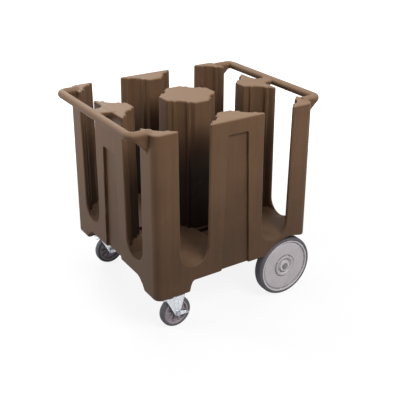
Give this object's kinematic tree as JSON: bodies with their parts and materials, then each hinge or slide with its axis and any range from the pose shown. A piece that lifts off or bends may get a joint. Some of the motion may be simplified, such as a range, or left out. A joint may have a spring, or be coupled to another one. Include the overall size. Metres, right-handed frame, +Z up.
{
  "type": "plate dispenser cart",
  "caption": "Rolling cart of moulded plastic with four open round columns for stacked plates, end handles, large rear wheels and swivel casters",
  "frame": {"origin": "on the floor, under the centre of the cart", "axes": "+X toward the end with the large fixed wheels, +Z up, +Y the long side away from the picture camera"},
  "size_m": [0.854, 0.7, 0.8296],
  "materials": {
    "brown_moulding": "fine grained, slightly glossy",
    "tyre_rubber": "matt",
    "wheel_grey": "satin",
    "caster_grey": "satin",
    "zinc": "bright plated",
    "bolt_steel": "satin",
    "nylon": "satin"
  },
  "bodies": {
    "cart_frame": {"moulded_body": "brown_moulding", "rear_axle": "bolt_steel", "axle_hanger_near": "zinc", "axle_hanger_near_bolt_1": "bolt_steel", "axle_hanger_near_bolt_2": "bolt_steel", "axle_hanger_near_bolt_3": "bolt_steel", "axle_hanger_near_bolt_4": "bolt_steel", "axle_hanger_far": "zinc", "axle_hanger_far_bolt_1": "bolt_steel", "axle_hanger_far_bolt_2": "bolt_steel", "axle_hanger_far_bolt_3": "bolt_steel", "axle_hanger_far_bolt_4": "bolt_steel", "rear_wheel_near_inner_washer": "zinc", "rear_wheel_near_axle_cap": "zinc", "rear_wheel_far_inner_washer": "zinc", "rear_wheel_far_axle_cap": "zinc", "caster_near_top_plate": "zinc", "caster_near_plate_bolt_1": "bolt_steel", "caster_near_plate_bolt_2": "bolt_steel", "caster_near_plate_bolt_3": "bolt_steel", "caster_near_plate_bolt_4": "bolt_steel", "caster_near_kingpin": "bolt_steel", "caster_near_swivel_race": "zinc", "caster_far_top_plate": "zinc", "caster_far_plate_bolt_1": "bolt_steel", "caster_far_plate_bolt_2": "bolt_steel", "caster_far_plate_bolt_3": "bolt_steel", "caster_far_plate_bolt_4": "bolt_steel", "caster_far_kingpin": "bolt_steel", "caster_far_swivel_race": "zinc"},
    "rear_wheel_near": {"rear_wheel_near_disc": "wheel_grey", "rear_wheel_near_tyre": "tyre_rubber", "rear_wheel_near_bush": "nylon"},
    "rear_wheel_far": {"rear_wheel_far_disc": "wheel_grey", "rear_wheel_far_tyre": "tyre_rubber", "rear_wheel_far_bush": "nylon"},
    "caster_near_swivel": {"caster_near_fork": "zinc", "caster_near_axle_sleeve": "nylon", "caster_near_axle_bolt": "bolt_steel", "caster_near_axle_nut": "bolt_steel"},
    "caster_near_wheel": {"caster_near_wheel_core": "caster_grey", "caster_near_tread": "tyre_rubber"},
    "caster_near_lever": {"caster_near_brake_lever": "zinc"},
    "caster_far_swivel": {"caster_far_fork": "zinc", "caster_far_axle_sleeve": "nylon", "caster_far_axle_bolt": "bolt_steel", "caster_far_axle_nut": "bolt_steel"},
    "caster_far_wheel": {"caster_far_wheel_core": "caster_grey", "caster_far_tread": "tyre_rubber"},
    "caster_far_lever": {"caster_far_brake_lever": "zinc"}
  },
  "joints": [
    {"name": "rear_wheel_near_spin", "type": "hinge", "parent": "cart_frame", "child": "rear_wheel_near", "pos_m": [0.26, -0.316, 0.127], "axis": [0, 1, 0], "continuous": true},
    {"name": "caster_near_turn", "type": "hinge", "parent": "cart_frame", "child": "caster_near_swivel", "pos_m": [-0.27, -0.286, 0.154], "axis": [0, 0, 1], "continuous": true},
    {"name": "caster_near_spin", "type": "hinge", "parent": "caster_near_swivel", "child": "caster_near_wheel", "pos_m": [-0.237, -0.286, 0.0635], "axis": [0, 1, 0], "continuous": true},
    {"name": "caster_near_brake", "type": "hinge", "parent": "caster_near_swivel", "child": "caster_near_lever", "pos_m": [-0.237, -0.286, 0.0635], "axis": [0, 1, 0], "range_deg": [0, 20]},
    {"name": "rear_wheel_far_spin", "type": "hinge", "parent": "cart_frame", "child": "rear_wheel_far", "pos_m": [0.26, 0.316, 0.127], "axis": [0, 1, 0], "continuous": true},
    {"name": "caster_far_turn", "type": "hinge", "parent": "cart_frame", "child": "caster_far_swivel", "pos_m": [-0.27, 0.286, 0.154], "axis": [0, 0, 1], "continuous": true},
    {"name": "caster_far_spin", "type": "hinge", "parent": "caster_far_swivel", "child": "caster_far_wheel", "pos_m": [-0.237, 0.286, 0.0635], "axis": [0, 1, 0], "continuous": true},
    {"name": "caster_far_brake", "type": "hinge", "parent": "caster_far_swivel", "child": "caster_far_lever", "pos_m": [-0.237, 0.286, 0.0635], "axis": [0, 1, 0], "range_deg": [0, 20]}
  ]
}
